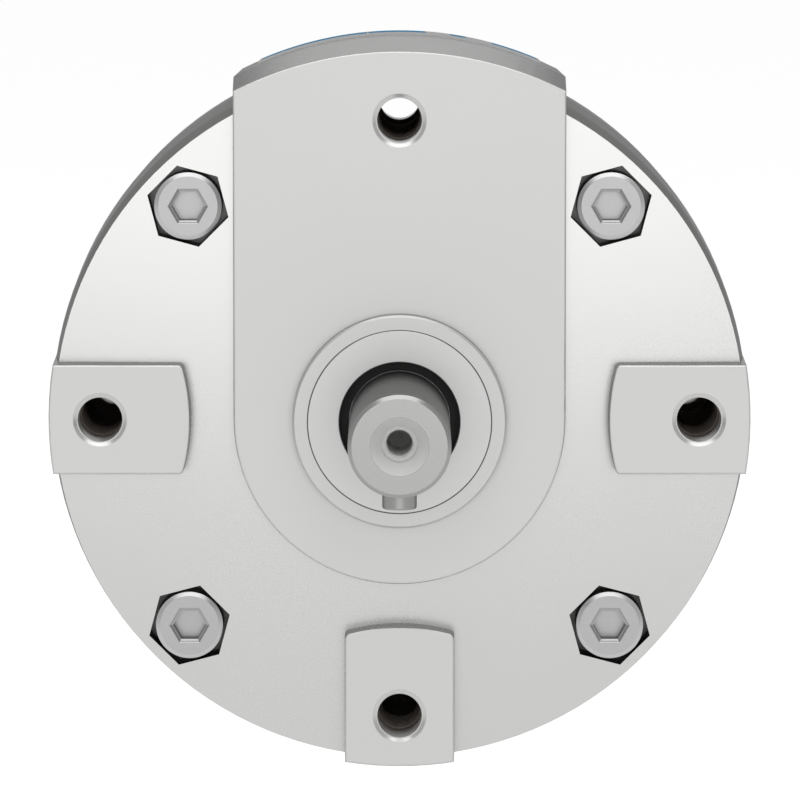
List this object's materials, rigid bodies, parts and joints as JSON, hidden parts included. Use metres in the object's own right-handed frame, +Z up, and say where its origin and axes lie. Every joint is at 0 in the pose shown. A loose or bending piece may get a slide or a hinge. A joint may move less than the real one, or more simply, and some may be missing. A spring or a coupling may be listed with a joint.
{
  "type": "pneumatic rotary actuator",
  "caption": "Flange-mounted vane rotary actuator with a round cast body, a tall port block, mounting pads and a keyed output shaft.",
  "frame": {"origin": "centre of the mounting hole circle on the front pad faces, on the shaft's axis", "axes": "+X to the right as the picture shows it, +Y back along the shaft into the body, +Z up towards the tall port block"},
  "size_m": [0.1058, 0.095, 0.1086],
  "materials": {
    "casting": "fine matt die cast",
    "steel": "ground",
    "plated_steel": "bright zinc plated",
    "key_steel": "cold drawn",
    "bearing_steel": "polished",
    "machined_aluminium": "fine turned",
    "black_rubber": "matt",
    "amber_cushion": "satin polyurethane",
    "cage_plastic": "moulded nylon",
    "blue_film": "semi-gloss printed film"
  },
  "bodies": {
    "housing": {"front_housing": "casting", "rear_housing": "casting", "front_cover": "machined_aluminium", "rear_cap": "machined_aluminium", "front_bearing_outer_ring": "bearing_steel", "rear_bearing_outer_ring": "bearing_steel", "front_shaft_seal": "black_rubber", "rear_shaft_seal": "black_rubber", "dust_seal": "black_rubber", "joint_seal": "black_rubber", "housing_screws": "plated_steel", "housing_nuts": "plated_steel", "locating_pins": "steel", "fixed_stop": "machined_aluminium", "stop_seal": "black_rubber", "stop_cushions": "amber_cushion", "stop_pins": "steel", "label": "blue_film"},
    "rotor": {"output_shaft": "steel", "feather_key": "key_steel", "rotor_key": "key_steel", "rotor_vane": "machined_aluminium", "vane_seal": "black_rubber", "front_bearing_inner_ring": "bearing_steel", "rear_bearing_inner_ring": "bearing_steel", "retaining_ring": "steel"},
    "front_ball_set": {"front_bearing_balls": "bearing_steel", "front_bearing_cage": "cage_plastic"},
    "rear_ball_set": {"rear_bearing_balls": "bearing_steel", "rear_bearing_cage": "cage_plastic"}
  },
  "joints": [
    {"name": "shaft_turn", "type": "hinge", "parent": "housing", "child": "rotor", "pos_m": [0, 0, 0], "axis": [0, 1, 0], "range_deg": [-135, 135]},
    {"name": "front_balls_turn", "type": "hinge", "parent": "housing", "child": "front_ball_set", "pos_m": [0, 0.0045, 0], "axis": [0, 1, 0], "range_deg": [-56, 56]},
    {"name": "rear_balls_turn", "type": "hinge", "parent": "housing", "child": "rear_ball_set", "pos_m": [0, 0.0535, 0], "axis": [0, 1, 0], "range_deg": [-56, 56]}
  ],
  "couplings": [
    {"joint": "front_balls_turn", "follows": "shaft_turn", "ratio": 0.4079},
    {"joint": "rear_balls_turn", "follows": "shaft_turn", "ratio": 0.4079}
  ]
}
